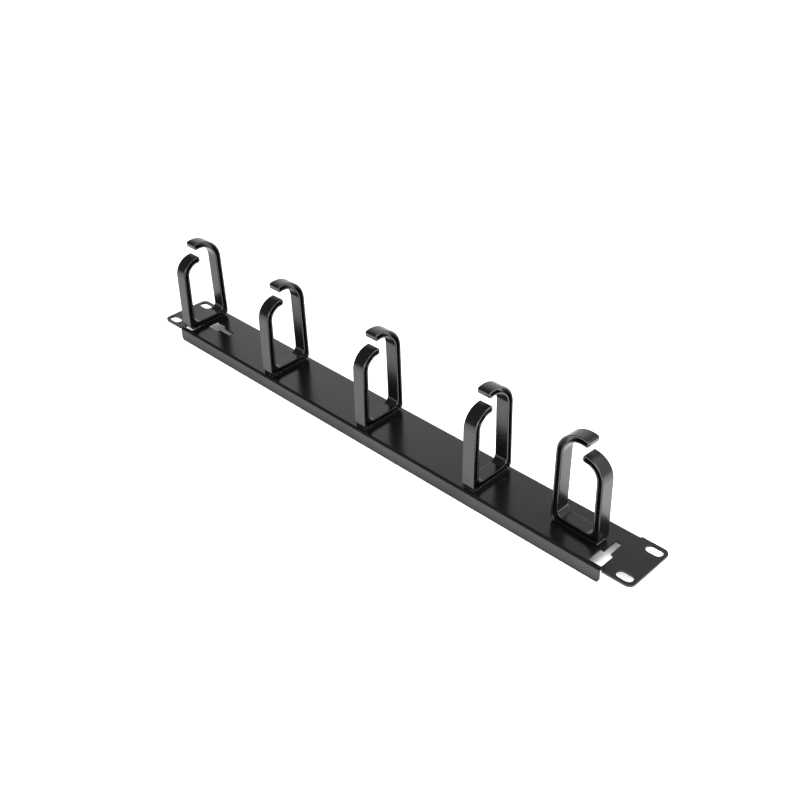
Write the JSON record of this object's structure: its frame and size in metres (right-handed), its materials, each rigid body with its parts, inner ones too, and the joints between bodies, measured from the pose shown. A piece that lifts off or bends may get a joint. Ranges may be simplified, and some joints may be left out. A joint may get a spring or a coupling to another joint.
{
  "type": "horizontal cable manager",
  "caption": "One-unit horizontal cable manager for a 19 inch rack: a folded black steel panel with open D-shaped plastic cable rings that slide into keyhole slots.",
  "frame": {"origin": "on the panel's face, at the centre of the four ear slots", "axes": "+X along the panel to the right-hand ear, +Y across it to its upper edge in the rack, +Z out of the face towards the rings"},
  "size_m": [0.4826, 0.0436, 0.0866],
  "materials": {
    "panel_paint": "black semi-gloss powder coat on folded steel",
    "ring_plastic": "black moulded plastic, satin to semi-gloss"
  },
  "bodies": {
    "panel": {"panel": "panel_paint"},
    "ring_1": {"ring_1": "ring_plastic"},
    "ring_2": {"ring_2": "ring_plastic"},
    "ring_3": {"ring_3": "ring_plastic"},
    "ring_4": {"ring_4": "ring_plastic"},
    "ring_5": {"ring_5": "ring_plastic"}
  },
  "joints": [
    {"name": "ring_1_slide", "type": "slide", "parent": "panel", "child": "ring_1", "axis": [0, -1, 0], "range_m": [0, 0.0127]},
    {"name": "ring_2_slide", "type": "slide", "parent": "panel", "child": "ring_2", "axis": [0, -1, 0], "range_m": [0, 0.0127]},
    {"name": "ring_3_slide", "type": "slide", "parent": "panel", "child": "ring_3", "axis": [0, -1, 0], "range_m": [0, 0.0127]},
    {"name": "ring_4_slide", "type": "slide", "parent": "panel", "child": "ring_4", "axis": [0, -1, 0], "range_m": [0, 0.0127]},
    {"name": "ring_5_slide", "type": "slide", "parent": "panel", "child": "ring_5", "axis": [1, 0, 0], "range_m": [-0.0007, 0.012]}
  ]
}
